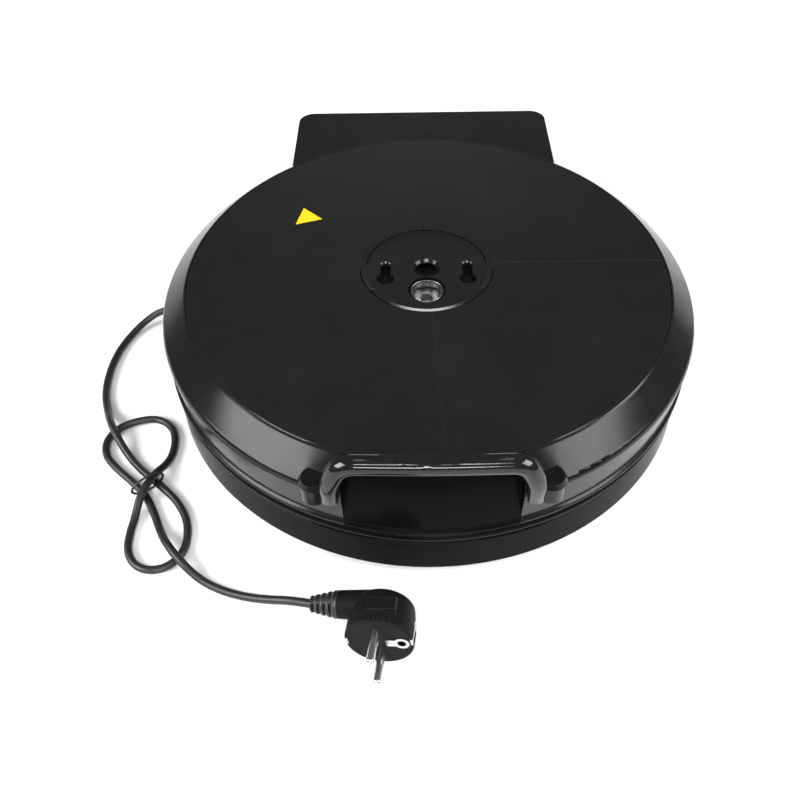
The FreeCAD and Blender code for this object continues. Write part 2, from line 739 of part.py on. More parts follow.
def lid_inside():
    flat = "upper_reflector_bottom"
    sheet_disc = cylinder("upper_reflector_disc", "0", "0", flat, "upper_reflector_radius", "sheet")
    holes = [cylinder("stud_hole", "0", "stud_y", flat + " - 1", "stud_radius + 1", "4")]
    for side in (-1, 1):
        holes += arm_screw_row("sheet_hole", side, "2", flat + " - 1", "4")
    holes.append(box("panel_room", "-apron_half_width - 1", "-upper_reflector_radius - 1", flat + " - 1",
                     "2 * apron_half_width + 2", "upper_reflector_radius - 145", "4"))
    keep(cut("upper_reflector", sheet_disc, holes), "upper_reflector")
    cup = turned("stud_cup", [
        ("stud_radius + 0.6", "cup_floor - cup_wall"), ("cup_radius", "cup_floor - cup_wall"),
        ("cup_radius", "cup_top - 0.5"), ("cup_radius - cup_wall", "cup_top - 0.5", "-0.6"),
        ("cup_radius - cup_wall", "cup_floor"), ("stud_radius + 0.6", "cup_floor"),
    ])
    keep(cup, "stud_cup", "plate_axis_y + stud_y")
    washer = turned("stud_washer", [
        ("stud_radius", "cup_floor"), ("washer_radius", "cup_floor"),
        ("washer_radius", "cup_floor + washer_thickness - 0.4"),
        ("washer_radius - 0.4", "cup_floor + washer_thickness"),
        ("stud_radius", "cup_floor + washer_thickness"),
    ])
    keep(washer, "stud_washer", "plate_axis_y + stud_y")
    top = "upper_plate_bottom + plate_thickness"
    stud = turned("plate_stud", [
        ("0", top), ("9", top), ("9", top + " + 3"), ("stud_radius", top + " + 5"),
        ("stud_radius", "stud_top - 0.5"), ("stud_radius - 0.5", "stud_top"), ("0", "stud_top"),
    ])
    keep(stud, "plate_stud", "plate_axis_y + stud_y")
    keep(cylinder("upper_thermostat", "0", "40", top, "12", "8"), "upper_thermostat",
         "plate_axis_y + 40")


def sticker():
    corners = [(-86.2, 69.4), (-90.4, 50.7), (-72.4, 56.3)]
    middle = (sum(c[0] for c in corners) / 3, sum(c[1] for c in corners) / 3)
    outline = [(str(round(x - middle[0], 2)), str(round(y - middle[1], 2))) for x, y in corners]
    label = padded("triangle_sticker", "XY_Plane", outline, "0.3")
    bind(label, X=middle[0], Z="lid_top")
    keep(label, "triangle_sticker", "plate_axis_y + %s" % middle[1])


# ================================================================ handle
HANDLE_BAR_HEIGHT = 98
HANDLE_ROUTE = [(-55.6, -163.6, 65), (-54.8, -166.5, 82), (-47.5, -165.5, 96.5), (0, -168, 98.5),
                (47.5, -165.5, 96.5), (54.8, -166.5, 82), (55.6, -163.6, 65)]


def handle_points():
    return [Vector(*p) for p in HANDLE_ROUTE]


def leg_socket(side):
    """Round hole in a lug that takes the end of a handle leg."""
    points = handle_points()
    end, above = (points[0], points[1]) if side < 0 else (points[-1], points[-2])
    along = (above - end).normalize()
    return Part.makeCylinder(size("handle_radius"), 40, end, along)


def handle():
    bar = tube_shape(handle_points(), size("handle_radius"))
    above = Part.makeBox(200, 60, 20, Vector(-100, -210, HANDLE_BAR_HEIGHT + size("handle_flat")))
    keep(shaped("handle", bar.cut(above)), "handle")


# ================================================================ cord and plug
LIFT = 8.6                        # height of the cord's middle where it lies over another strand


def cord_gland():
    """Bush through the wall and the tapered sleeve outside it."""
    tip = gland_point(GLAND_TIP)
    out = (tip - gland_point(0))
    out.z = 0
    bush = gland_cylinder(GLAND_WALL_START, GLAND_COLLAR, 5.4)
    inside_end = GLAND_WALL_START - 2.4
    inner = gland_cylinder(inside_end, GLAND_WALL_START, 6.2)
    lip_room = Part.makeBox(60, 60, 10.2, Vector(-200, 0, 0))
    collar = gland_cylinder(GLAND_COLLAR, GLAND_COLLAR + 3, 6.6)
    sleeve = Part.makeCone(5.6, 3.5, GLAND_TIP - GLAND_COLLAR - 3, gland_point(GLAND_COLLAR + 3), out)
    gland = bush.fuse([inner.cut(lip_room), collar, sleeve]).removeSplitter()
    keep(shaped("cord_gland", gland), "cord_gland")
    tail = gland_cylinder(137, inside_end, size("cord_radius"))
    keep(shaped("cord_tail", tail), "cord_tail")
    holder = Part.makeBox(6, 18, 9, Vector(-3, -9, 0))
    holder.Placement = FreeCAD.Placement(gland_point(148) - Vector(0, 0, 5),
                                         FreeCAD.Rotation(Vector(0, 0, 1), GLAND_AZIMUTH))
    keep(shaped("cord_clamp", holder.cut(tail)), "cord_clamp")


CORD_ROUTE = [
    (-201.5, 44.5, 11.0), (-213.5, 39.0, 5.5), (-222.5, 27.0, 2.6), (-228.5, 9.5, 2.6),
    (-230.5, -12.0, 2.6), (-228.5, -33.0, 2.6), (-222.5, -50.0, 2.6), (-216.0, -63.0, LIFT),
    (-208.5, -76.0, LIFT), (-198.5, -89.5, 2.6), (-186.0, -102.0, 2.6), (-172.5, -113.0, 2.6),
    (-161.0, -123.5, 2.6), (-152.5, -136.0, 2.6), (-148.8, -149.0, 2.6), (-149.4, -161.5, 2.6),
    (-156.2, -170.8, 2.6), (-166.8, -174.2, 2.6), (-177.4, -170.6, 2.6), (-184.0, -161.0, 2.6),
    (-185.3, -149.0, 2.6), (-184.5, -136.5, 2.6), (-182.5, -123.5, LIFT), (-177.5, -108.0, LIFT),
    (-171.0, -94.0, 2.6), (-169.5, -79.0, 2.6), (-173.5, -64.5, 2.6), (-185.5, -56.0, 2.6),
    (-199.5, -58.0, 2.6), (-211.5, -64.0, 2.6), (-217.5, -75.5, 2.6), (-214.5, -88.5, 2.6),
    (-204.5, -99.0, 2.6), (-192.5, -109.0, 2.6), (-181.5, -119.5, 2.6), (-173.5, -132.5, 2.6),
    (-167.0, -146.0, 2.6), (-159.5, -158.5, LIFT), (-149.5, -170.0, LIFT), (-137.5, -179.5, 2.6),
    (-123.0, -187.0, 2.6), (-107.5, -192.2, 4.2), (-93.0, -195.9, 8.2), (-79.5, -198.4, 12.2),
]
PLUG_FACE = Vector(-29.4, -227.0, 20.3)
PLUG_TURN = -8
PLUG_LEAN = -10
PLUG_TIP = -9                     # the narrow back of the plug rests lower than its face
CORD_BEHIND_FACE = 20.0
CORD_ABOVE_MIDDLE = 5.0
BOOT_START = -41.0


def plug_frame():
    """Plug's own axes: +X away from the cord, +Y back from the face, turned on the table."""
    turn = FreeCAD.Rotation(Vector(0, 0, 1), PLUG_TURN)
    lean = FreeCAD.Rotation(Vector(0, 1, 0), PLUG_LEAN)
    tip = FreeCAD.Rotation(Vector(1, 0, 0), PLUG_TIP)
    return FreeCAD.Placement(PLUG_FACE, turn.multiply(tip).multiply(lean))


def power_cord():
    boot = plug_frame().multVec(Vector(BOOT_START, CORD_BEHIND_FACE, CORD_ABOVE_MIDDLE))
    print("cord ends at %.1f %.1f %.1f" % tuple(boot))
    points = [gland_point(GLAND_TIP)] + [Vector(*p) for p in CORD_ROUTE] + [boot]
    radii = bend_radii(points, 0.45)
    print("cord length %.0f, smallest bend %.1f" % (bent_wire(points).Length, min(radii)))
    print("cord bends " + " ".join("%.0f" % radius for radius in radii))
    keep(shaped("power_cord", tube_shape(points, size("cord_radius"))), "power_cord")
    ring = Part.makeTorus(8.6, 0.7, Vector(0, 0, 0), Vector(1, 0, 0))
    squeeze = FreeCAD.Matrix()
    squeeze.scale(1, 1.25, 0.72)
    tie_place = FreeCAD.Placement(Vector(-180.3, -113.6, 7.0), FreeCAD.Rotation(Vector(0, 0, 1), -52))
    keep_placed("twist_tie", ring.transformGeometry(squeeze), tie_place)


def plug():
    frame = plug_frame()
    radius = size("plug_radius")
    face = Part.makeCylinder(radius, 8, Vector(0, 0, 0), Vector(0, 1, 0))
    face = face.makeFillet(1.2, [min(face.Edges, key=lambda edge: edge.CenterOfMass.y)])
    back = Part.makeCone(radius, radius - 2.5, size("plug_depth") - 8, Vector(0, 8, 0), Vector(0, 1, 0))
    back = back.makeFillet(4, [max(back.Edges, key=lambda edge: edge.CenterOfMass.y)])
    neck = Part.makeCone(7.8, 8.4, 18, Vector(-25, CORD_BEHIND_FACE, CORD_ABOVE_MIDDLE), Vector(1, 0, 0))
    pad = Part.makeBox(16, 8, 4, Vector(-5, 7, radius - 3.2))
    body = face.fuse([back, neck, pad]).removeSplitter()
    holes = [Part.makeCylinder(2.4, 12, Vector(12.5, -1, 0), Vector(0, 1, 0))]
    clips = []
    for side in (-1, 1):
        holes.append(Part.makeBox(2, 14, 5.2, Vector(side * (radius - 0.9) - 1, -1, -2.6)))
        clips.append(Part.makeBox(1.2, 12.5, 4.8, Vector(side * (radius - 1.2) - 0.6, 0.2, -2.4)))
    body = body.cut(Part.makeCompound(holes))
    keep_placed("plug_body", body, frame)
    plate = Part.makeBox(9, 0.6, 5.2, Vector(4, -0.6, -2.6))
    plate = plate.fuse(Part.makeCylinder(4.2, 0.6, Vector(12.5, -0.6, 0), Vector(0, 1, 0)))
    earth_hole = Part.makeCylinder(2.4, 2, Vector(12.5, -1, 0), Vector(0, 1, 0))
    clips.append(plate.cut(earth_hole).removeSplitter())
    keep_placed("plug_earth_contacts", Part.makeCompound(clips), frame)
    spacing = size("pin_spacing")
    boot_end = Vector(BOOT_START, CORD_BEHIND_FACE, CORD_ABOVE_MIDDLE)
    boot = Part.makeCone(4.4, 7.6, -25 - BOOT_START, boot_end, Vector(1, 0, 0))
    rings = [Part.makeTorus(4.6 + 0.75 * k, 0.9, boot_end + Vector(2.5 + 3.6 * k, 0, 0),
                            Vector(1, 0, 0)) for k in range(4)]
    boot = boot.fuse(rings).removeSplitter()
    keep_placed("plug_boot", boot, frame)
    pins = []
    for side in (-1, 1):
        pin = Part.makeCylinder(size("plug_pin_radius"), size("plug_pin_length"),
                                Vector(0, 0, side * spacing / 2), Vector(0, -1, 0))
        pins.append(pin.makeFillet(1.4, [e for e in pin.Edges
                                         if len(e.Vertexes) == 1 and e.CenterOfMass.y < -10]))
    keep_placed("plug_pins", Part.makeCompound(pins), frame)


# ================================================================ assembly
base_shell()
base_rim()
bottom_cover()
feet()
plate_posts()
plates()
element("lower_element", "lower_plate_top - plate_thickness - element_tube", -1)
element("upper_element", "upper_plate_bottom + plate_thickness + element_tube", 1)
lower_reflector()
base_electrics()
hinge()
lid_arms()
lid_ring()
lid_panel()
front_panel()
hinge_cover()
lid_inside()
sticker()
handle()
cord_gland()
power_cord()
plug()
doc.recompute()

for feature in doc.Objects:
    if "Invalid" in feature.State or "Error" in feature.State:
        raise RuntimeError("%s failed: %s" % (feature.Label, feature.State))
for node in nodes:
    if node.Shape.isNull() or not node.Shape.isValid() or not node.Shape.Solids:
        raise RuntimeError("%s has no valid solid" % node.Label)
for node in nodes:
    node.Shape.exportStep(os.path.join("parts", node.Label + ".step"))
print("%d sub-parts written" % len(nodes))
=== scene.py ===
import json
import math

import bmesh
import bpy
from mathutils import Matrix, Vector


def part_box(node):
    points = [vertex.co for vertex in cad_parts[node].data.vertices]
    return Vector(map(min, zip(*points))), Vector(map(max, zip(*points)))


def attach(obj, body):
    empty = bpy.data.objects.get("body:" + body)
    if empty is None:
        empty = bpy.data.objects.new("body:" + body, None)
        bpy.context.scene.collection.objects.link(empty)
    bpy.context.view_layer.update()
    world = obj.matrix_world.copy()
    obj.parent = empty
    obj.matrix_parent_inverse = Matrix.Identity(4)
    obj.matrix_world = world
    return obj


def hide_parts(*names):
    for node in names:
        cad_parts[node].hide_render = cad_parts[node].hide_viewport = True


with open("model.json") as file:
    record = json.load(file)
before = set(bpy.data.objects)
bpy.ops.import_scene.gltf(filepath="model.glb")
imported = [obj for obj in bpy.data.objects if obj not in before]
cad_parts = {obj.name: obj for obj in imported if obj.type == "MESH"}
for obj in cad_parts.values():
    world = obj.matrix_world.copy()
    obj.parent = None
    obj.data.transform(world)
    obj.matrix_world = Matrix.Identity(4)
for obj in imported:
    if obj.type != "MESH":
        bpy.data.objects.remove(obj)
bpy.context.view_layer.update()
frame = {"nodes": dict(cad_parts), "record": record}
scene = bpy.context.scene
scene.view_settings.view_transform = "Standard"

# ------------------------------------------------------------------ places taken from the CAD
panel_low, panel_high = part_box("lid_panel")
AXIS_Y = (panel_low.y + panel_high.y) / 2      # the plates' centre line


def local(x, y, z):
    """A point in millimetres about the plates' axis, as metres in the row frame."""
    return Vector((x / 1000, AXIS_Y + y / 1000, z / 1000))


# ------------------------------------------------------------------ camera
CAMERA_PLACE = local(-11.6, -407.8, 427.4)
CAMERA_PAN, CAMERA_TILT, CAMERA_ROLL = 1.11, 40.79, -1.38      # degrees

camera = bpy.data.objects.new("camera", bpy.data.cameras.new("camera"))
scene.collection.objects.link(camera)
camera.data.lens = 36
camera.data.sensor_width = 36
camera.data.clip_start = 0.01
camera.matrix_world = (
    Matrix.Translation(CAMERA_PLACE)
    @ Matrix.Rotation(math.radians(CAMERA_PAN), 4, "Z")
    @ Matrix.Rotation(math.radians(CAMERA_TILT), 4, "X")
    @ Matrix.Rotation(math.radians(CAMERA_ROLL), 4, "Z")
)
scene.camera = camera

# ------------------------------------------------------------------ cord
# Places in this route are millimetres about the plates' axis, as in the CAD.
LIFT = 8.6             # height of the cord's centre where it passes over itself
CORD_DIAMETER = 0.005
GLAND_TIP = (-188.3, 44.0, 14.0)
BOOT_START = (-67.5, -202.0, 15.0)
CORD_ROUTE = [
    GLAND_TIP,
    (-201.5, 44.5, 11.0), (-213.5, 39.0, 5.5), (-222.5, 27.0, 2.6), (-228.5, 9.5, 2.6),
    (-230.5, -12.0, 2.6), (-228.5, -33.0, 2.6), (-222.5, -50.0, 2.6), (-216.0, -63.0, LIFT),
    (-208.5, -76.0, LIFT), (-198.5, -89.5, 2.6), (-186.0, -102.0, 2.6), (-172.5, -113.0, 2.6),
    (-161.0, -123.5, 2.6), (-152.5, -136.0, 2.6), (-148.8, -149.0, 2.6), (-149.4, -161.5, 2.6),
    (-156.2, -170.8, 2.6), (-166.8, -174.2, 2.6), (-177.4, -170.6, 2.6), (-184.0, -161.0, 2.6),
    (-185.3, -149.0, 2.6), (-184.5, -136.5, 2.6), (-182.5, -123.5, LIFT), (-177.5, -108.0, LIFT),
    (-171.0, -94.0, 2.6), (-169.5, -79.0, 2.6), (-173.5, -64.5, 2.6), (-185.5, -56.0, 2.6),
    (-199.5, -58.0, 2.6), (-211.5, -64.0, 2.6), (-217.5, -75.5, 2.6), (-214.5, -88.5, 2.6),
    (-204.5, -99.0, 2.6), (-192.5, -109.0, 2.6), (-181.5, -119.5, 2.6), (-173.5, -132.5, 2.6),
    (-167.0, -146.0, 2.6), (-159.5, -158.5, LIFT), (-149.5, -170.0, LIFT), (-137.5, -179.5, 2.6),
    (-123.0, -187.0, 2.6), (-107.5, -192.2, 4.2), (-93.0, -195.9, 8.2), (-79.5, -198.4, 12.2),
    BOOT_START,
]


def nurbs(name, points, radius, resolution=12):
    """A round smooth cord through control points given in metres."""
    data = bpy.data.curves.new(name, "CURVE")
    data.dimensions = "3D"
    spline = data.splines.new("NURBS")
    spline.points.add(len(points) - 1)
    for place, point in zip(spline.points, points):
        place.co = (*point, 1)
        place.radius = radius
    spline.order_u = 3
    spline.use_endpoint_u = True
    spline.resolution_u = resolution
    data.bevel_depth = 1
    data.bevel_resolution = 8
    data.use_fill_caps = True
    piece = bpy.data.objects.new(name, data)
    scene.collection.objects.link(piece)
    return piece


cord = nurbs("mains_cord", [local(*point) for point in CORD_ROUTE], CORD_DIAMETER / 2)
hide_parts("power_cord")
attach(cord, "base")


# ------------------------------------------------------------------ materials
WEAR_REACH = 0.0007              # how far from an edge its rubbed tone spreads
WEAR_STRENGTH = 0.7
WEAR_START, WEAR_END = 0.90, 0.985


def material(name, colour, second, rough, metallic=0.0, grain=900.0, bump=0.15,
             bump_depth=0.0002, edge=None, specular=0.5, coat=0.0, coat_rough=0.1,
             patch=18.0, rough_patch=60.0, polished=None):
    """A procedural finish: drifting colour, drifting roughness, fine bump and rubbed edges."""
    made = bpy.data.materials.new(name)
    made.use_nodes = True
    nodes, links = made.node_tree.nodes, made.node_tree.links
    nodes.clear()
    out = nodes.new("ShaderNodeOutputMaterial")
    shader = nodes.new("ShaderNodeBsdfPrincipled")
    links.new(shader.outputs["BSDF"], out.inputs["Surface"])
    shader.inputs["Metallic"].default_value = metallic
    shader.inputs["Specular IOR Level"].default_value = specular
    shader.inputs["Coat Weight"].default_value = coat
    shader.inputs["Coat Roughness"].default_value = coat_rough
    place = nodes.new("ShaderNodeTexCoord")

    def noise(scale, detail=4.0, roughness=0.55):
        node = nodes.new("ShaderNodeTexNoise")
        node.inputs["Scale"].default_value = scale
        node.inputs["Detail"].default_value = detail
        node.inputs["Roughness"].default_value = roughness
        links.new(place.outputs["Object"], node.inputs["Vector"])
        return node.outputs["Fac"]

    def spread(value, low, high, start=0.3, end=0.7):
        node = nodes.new("ShaderNodeMapRange")
        node.inputs["From Min"].default_value = start
        node.inputs["From Max"].default_value = end
        node.inputs["To Min"].default_value = low
        node.inputs["To Max"].default_value = high
        links.new(value, node.inputs["Value"])
        return node.outputs["Result"]

    def blend(factor, first, other):
        node = nodes.new("ShaderNodeMix")
        node.data_type = "RGBA"
        links.new(factor, node.inputs["Factor"])
        colour_a, colour_b, colour_out = 6, 7, 2       # the Mix node's colour sockets
        for socket, value in ((colour_a, first), (colour_b, other)):
            if isinstance(value, tuple):
                node.inputs[socket].default_value = (*value, 1)
            else:
                links.new(value, node.inputs[socket])
        return node.outputs[colour_out]

    tone = blend(spread(noise(patch), 0.0, 1.0), colour, second)
    if edge:
        rounded = nodes.new("ShaderNodeBevel")
        rounded.samples = 4
        rounded.inputs["Radius"].default_value = WEAR_REACH
        surface = nodes.new("ShaderNodeNewGeometry")
        alike = nodes.new("ShaderNodeVectorMath")
        alike.operation = "DOT_PRODUCT"
        links.new(rounded.outputs["Normal"], alike.inputs[0])
        links.new(surface.outputs["Normal"], alike.inputs[1])
        worn = spread(alike.outputs["Value"], WEAR_STRENGTH, 0.0, WEAR_START, WEAR_END)
        tone = blend(worn, tone, edge)
    links.new(tone, shader.inputs["Base Color"])
    roughness = spread(noise(rough_patch, 6.0), rough[0], rough[1])
    if polished:
        roughness = polished(nodes, links, place.outputs["Object"], roughness)
    links.new(roughness, shader.inputs["Roughness"])
    if bump:
        relief = nodes.new("ShaderNodeBump")
        relief.inputs["Strength"].default_value = bump
        relief.inputs["Distance"].default_value = bump_depth
        links.new(noise(grain, 3.0), relief.inputs["Height"])
        links.new(relief.outputs["Normal"], shader.inputs["Normal"])
    return made


def within(nodes, links, value, low, high):
    """1 where value lies between low and high, else 0."""
    answers = []
    for operation, limit in (("GREATER_THAN", low), ("LESS_THAN", high)):
        test = nodes.new("ShaderNodeMath")
        test.operation = operation
        test.inputs[1].default_value = limit
        links.new(value, test.inputs[0])
        answers.append(test.outputs["Value"])
    both = nodes.new("ShaderNodeMath")
    both.operation = "MULTIPLY"
    links.new(answers[0], both.inputs[0])
    links.new(answers[1], both.inputs[1])
    return both.outputs["Value"]


DISC_TOP = panel_high.z
DISC_RADIUS = (panel_high.x - panel_low.x) / 2
RECESS_DEPTH = 0.0012
RECESS_Y = 0.004                 # the recess's centre, behind the plates' axis
GLOSSY_RIM = 0.0007              # width of the disc's glossy edge
NEAR_SLOPE = 0.022               # the slope's glossy part starts this far before the centre
SLOPE_MARGIN = 0.00003
HOLE_MARGIN = 0.00005
GLOSSY = 0.10                    # roughness
FAR = 1.0                        # a limit past every face


def polished_edges(nodes, links, place, roughness):
    """The disc is grained. Its rim, the recess's near slope and the holes' edges are glossy."""
    split = nodes.new("ShaderNodeSeparateXYZ")
    links.new(place, split.inputs["Vector"])
    offset = nodes.new("ShaderNodeVectorMath")
    offset.operation = "SUBTRACT"
    offset.inputs[1].default_value = (0, AXIS_Y, DISC_TOP)
    links.new(place, offset.inputs[0])
    reach = nodes.new("ShaderNodeVectorMath")
    reach.operation = "LENGTH"
    links.new(offset.outputs["Vector"], reach.inputs[0])
    floor_z = DISC_TOP - RECESS_DEPTH
    masks = [
        within(nodes, links, reach.outputs["Value"], DISC_RADIUS - GLOSSY_RIM, FAR),
        within(nodes, links, split.outputs["Z"], 0.0, floor_z - HOLE_MARGIN),
    ]
    slope = nodes.new("ShaderNodeMath")
    slope.operation = "MULTIPLY"
    links.new(within(nodes, links, split.outputs["Z"], floor_z + SLOPE_MARGIN,
                     DISC_TOP - SLOPE_MARGIN), slope.inputs[0])
    links.new(within(nodes, links, split.outputs["Y"], -FAR, AXIS_Y + RECESS_Y - NEAR_SLOPE),
              slope.inputs[1])
    masks.append(slope.outputs["Value"])
    for mask in masks:
        mix = nodes.new("ShaderNodeMix")
        links.new(mask, mix.inputs["Factor"])
        links.new(roughness, mix.inputs["A"])
        mix.inputs["B"].default_value = GLOSSY
        roughness = mix.outputs["Result"]
    return roughness


BLACK = (0.0050, 0.0050, 0.0053)
BLACK_DRIFT = (0.0075, 0.0075, 0.0078)
# Painted shade: a darker black for the shaded copy of the gloss finish on the walls.
WALL_SHADE_BLACK = (0.0024, 0.0024, 0.0026)
GRAINED_BLACK = (0.0050, 0.0050, 0.0050)
GRAINED_DRIFT = (0.0072, 0.0072, 0.0074)
RUBBED_BLACK = (0.03, 0.03, 0.03)
finishes = {
    "black_gloss": material("gloss_black", BLACK, BLACK_DRIFT, (0.13, 0.20),
                            grain=160, bump=0.02, edge=RUBBED_BLACK, specular=0.18),
    "black_satin": material("satin_black", GRAINED_BLACK, GRAINED_DRIFT,
                            (0.42, 0.50), grain=2600, bump=0.10, bump_depth=0.00006,
                            edge=RUBBED_BLACK, specular=0.18, polished=polished_edges),
    "black_matte": material("matte_black", GRAINED_BLACK, GRAINED_DRIFT,
                            (0.48, 0.58), grain=2200, bump=0.22, bump_depth=0.0001,
                            edge=(0.035, 0.035, 0.035), specular=0.07),
    "black_rubber": material("rubber_black", (0.007, 0.007, 0.007), (0.010, 0.010, 0.010),
                             (0.36, 0.48), grain=1500, bump=0.12, bump_depth=0.0001),
    "tie_wire": material("tie_black", (0.006, 0.006, 0.006), (0.01, 0.01, 0.01),
                         (0.25, 0.4), grain=1500, bump=0.1),
    "white_ceramic": material("ceramic_white", (0.72, 0.70, 0.66), (0.80, 0.78, 0.74),
                              (0.3, 0.5), grain=900, bump=0.15),
    "plate_metal": material("plate_coated", (0.035, 0.035, 0.037), (0.05, 0.05, 0.052),
                            (0.35, 0.5), metallic=0.6, grain=1400, bump=0.2,
                            edge=(0.11, 0.11, 0.11)),
    "bright_aluminium": material("aluminium_sheet", (0.70, 0.70, 0.71), (0.78, 0.78, 0.79),
                                 (0.22, 0.38), metallic=1.0, grain=500, bump=0.1),
    "steel": material("steel_bright", (0.52, 0.52, 0.53), (0.62, 0.62, 0.63),
                      (0.25, 0.42), metallic=1.0, grain=700, bump=0.12),
    "chrome": material("chrome_bright", (0.80, 0.80, 0.81), (0.88, 0.88, 0.89),
                       (0.06, 0.16), metallic=1.0, grain=500, bump=0.03),
    "heater_steel": material("heater_sheath", (0.20, 0.17, 0.15), (0.30, 0.26, 0.23),
                             (0.35, 0.55), metallic=1.0, grain=900, bump=0.15),
    "brass": material("brass_stud", (0.62, 0.44, 0.16), (0.70, 0.52, 0.22),
                      (0.25, 0.4), metallic=1.0, grain=700, bump=0.1),
    "yellow_label": material("label_yellow", (0.72, 0.54, 0.004), (0.66, 0.49, 0.004),
                             (0.3, 0.42), grain=1200, bump=0.1),
    "lead_brown": material("lead_brown", (0.12, 0.045, 0.02), (0.16, 0.06, 0.03),
                           (0.3, 0.45), grain=1500, bump=0.1),
    "lead_blue": material("lead_blue", (0.02, 0.07, 0.30), (0.03, 0.10, 0.36),
                          (0.3, 0.45), grain=1500, bump=0.1),
    "lead_green": material("lead_green", (0.10, 0.32, 0.04), (0.50, 0.50, 0.04),
                           (0.3, 0.45), grain=1500, bump=0.1),
}
# Painted shade: a darker, nearly unreflective copy of the gloss black on the base's walls and
# rim and on the front panel, so they look shaded.
shaded_wall_black = material("gloss_black_wall_shaded", WALL_SHADE_BLACK, (0.0036, 0.0036, 0.0038), (0.16, 0.24),
                      grain=160, bump=0.02, edge=(0.02, 0.02, 0.02), specular=0.03)
dull_steel = material("steel_dull", (0.10, 0.10, 0.10), (0.16, 0.155, 0.15), (0.38, 0.55),
                      metallic=1.0, grain=700, bump=0.15)
# Painted shade: the upper reflector, galvanised in the real machine, is made near-black so the
# holes in the lid look dark.
shade_dark_sheet = material("sheet_painted_shade", (0.012, 0.012, 0.012), (0.018, 0.018, 0.018), (0.5, 0.65),
                      grain=500, bump=0.15, specular=0.2)
cup_steel = material("steel_cup", (0.20, 0.20, 0.20), (0.28, 0.275, 0.27), (0.24, 0.34),
                     metallic=1.0, grain=900, bump=0.08)
washer_steel = material("steel_washer", (0.42, 0.42, 0.42), (0.52, 0.52, 0.51), (0.40, 0.50),
                        metallic=1.0, grain=1400, bump=0.15)
handle_black = material("gloss_black_handle", BLACK, BLACK_DRIFT, (0.09, 0.14),
                        grain=160, bump=0.015, edge=RUBBED_BLACK, specular=0.40)
dull_chrome = material("plug_metal", (0.45, 0.45, 0.45), (0.62, 0.62, 0.61), (0.16, 0.28),
                       metallic=1.0, grain=900, bump=0.06)
# Painted shade: a near-black, nearly unreflective finish for the thin lines drawn where the
# recess's edges fall into shade.
painted_shade_black = material("painted_shade_black", (0.0012, 0.0012, 0.0012), (0.002, 0.002, 0.002), (0.6, 0.8),
                     grain=1500, bump=0.05, specular=0.02)

# Nodes whose finish differs from the rest of their slot.
special = {
    "handle": handle_black, "plug_pins": dull_chrome, "plug_earth_contacts": dull_chrome,
    # The base walls, the base rim and the front panel take the shaded copy of the gloss black,
    # as painted shade.
    "base_shell": shaded_wall_black, "base_rim": shaded_wall_black, "front_panel": shaded_wall_black,
    "plate_stud": dull_steel, "stud_cup": cup_steel, "stud_washer": washer_steel,
    # The upper reflector takes the near-black sheet, as painted shade in the lid's holes.
    "upper_reflector": shade_dark_sheet,
}
for entry in frame["record"]["subparts"]:
    node = frame["nodes"][entry["node"]]
    node.data.materials.clear()
    node.data.materials.append(special.get(entry["node"], finishes[entry["material_slot"]]))
cord.data.materials.append(finishes["black_rubber"])


# ------------------------------------------------------------------ pieces made here
def mesh_piece(name, rows, finish, body, closed=True, caps=False):
    """A skin over rows of points, each row once round (closed) or side by side (open)."""
    built = bmesh.new()
    grid = [[built.verts.new(point) for point in row] for row in rows]
    count = len(rows[0])
    for low, high in zip(grid, grid[1:]):
        for k in range(count if closed else count - 1):
            after = (k + 1) % count
            built.faces.new((low[k], low[after], high[after], high[k]))
    if caps:
        built.faces.new(list(reversed(grid[0])))
        built.faces.new(grid[-1])
    bmesh.ops.recalc_face_normals(built, faces=built.faces)
    for face in built.faces:
        face.smooth = True
    data = bpy.data.meshes.new(name)
    built.to_mesh(data)
    built.free()
    piece = bpy.data.objects.new(name, data)
    scene.collection.objects.link(piece)
    data.materials.append(finish)
    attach(piece, body)
    return piece


PANEL_TOP = 1000 * DISC_TOP
RECESS_BACK_RADIUS = 40.0        # foot of the recess's slope
RECESS_FRONT_RADIUS = 43.6       # head of the recess's slope


def ring_line(name, radius, height, start, end, thickness):
    """A fine dark line of painted shade, an arc about the recess's centre between two angles in
    degrees.
    """
    steps, sides = 96, 8
    rows = []
    for k in range(steps + 1):
        angle = math.radians(start + (end - start) * k / steps)
        row = []
        for m in range(sides):
            around = 2 * math.pi * m / sides
            reach = radius + thickness * math.cos(around)
            row.append(local(reach * math.cos(angle), 1000 * RECESS_Y + reach * math.sin(angle),
                             height + 0.5 * thickness * math.sin(around)))
        rows.append(row)
    line = mesh_piece(name, rows, painted_shade_black, "lid", caps=True)


# Painted shade: thin dark arcs along the foot of the recess's back slope and along its side
# edges.
ring_line("recess_line_back", RECESS_BACK_RADIUS, PANEL_TOP - 1000 * RECESS_DEPTH, 6, 174, 0.42)
ring_line("recess_line_left", RECESS_FRONT_RADIUS, PANEL_TOP, 184, 238, 0.36)
ring_line("recess_line_right", RECESS_FRONT_RADIUS, PANEL_TOP, 302, 356, 0.36)

PLUG_FACE = (-29.4, -227.0, 20.3)
PLUG_TURN, PLUG_TIP, PLUG_LEAN = -8, -9, -10       # degrees about its Z, X and Y axes
PLUG_RADIUS = 19.0
CORD_BEHIND_FACE = 20
CORD_ABOVE_MIDDLE = 5
PLUG_FRAME = (
    Matrix.Translation(local(*PLUG_FACE))
    @ Matrix.Rotation(math.radians(PLUG_TURN), 4, "Z")
    @ Matrix.Rotation(math.radians(PLUG_TIP), 4, "X")
    @ Matrix.Rotation(math.radians(PLUG_LEAN), 4, "Y")
)


def on_plug(x, y, z):
    """A point in millimetres on the plug's own axes, in the row frame."""
    return PLUG_FRAME @ Vector((x / 1000, y / 1000, z / 1000))


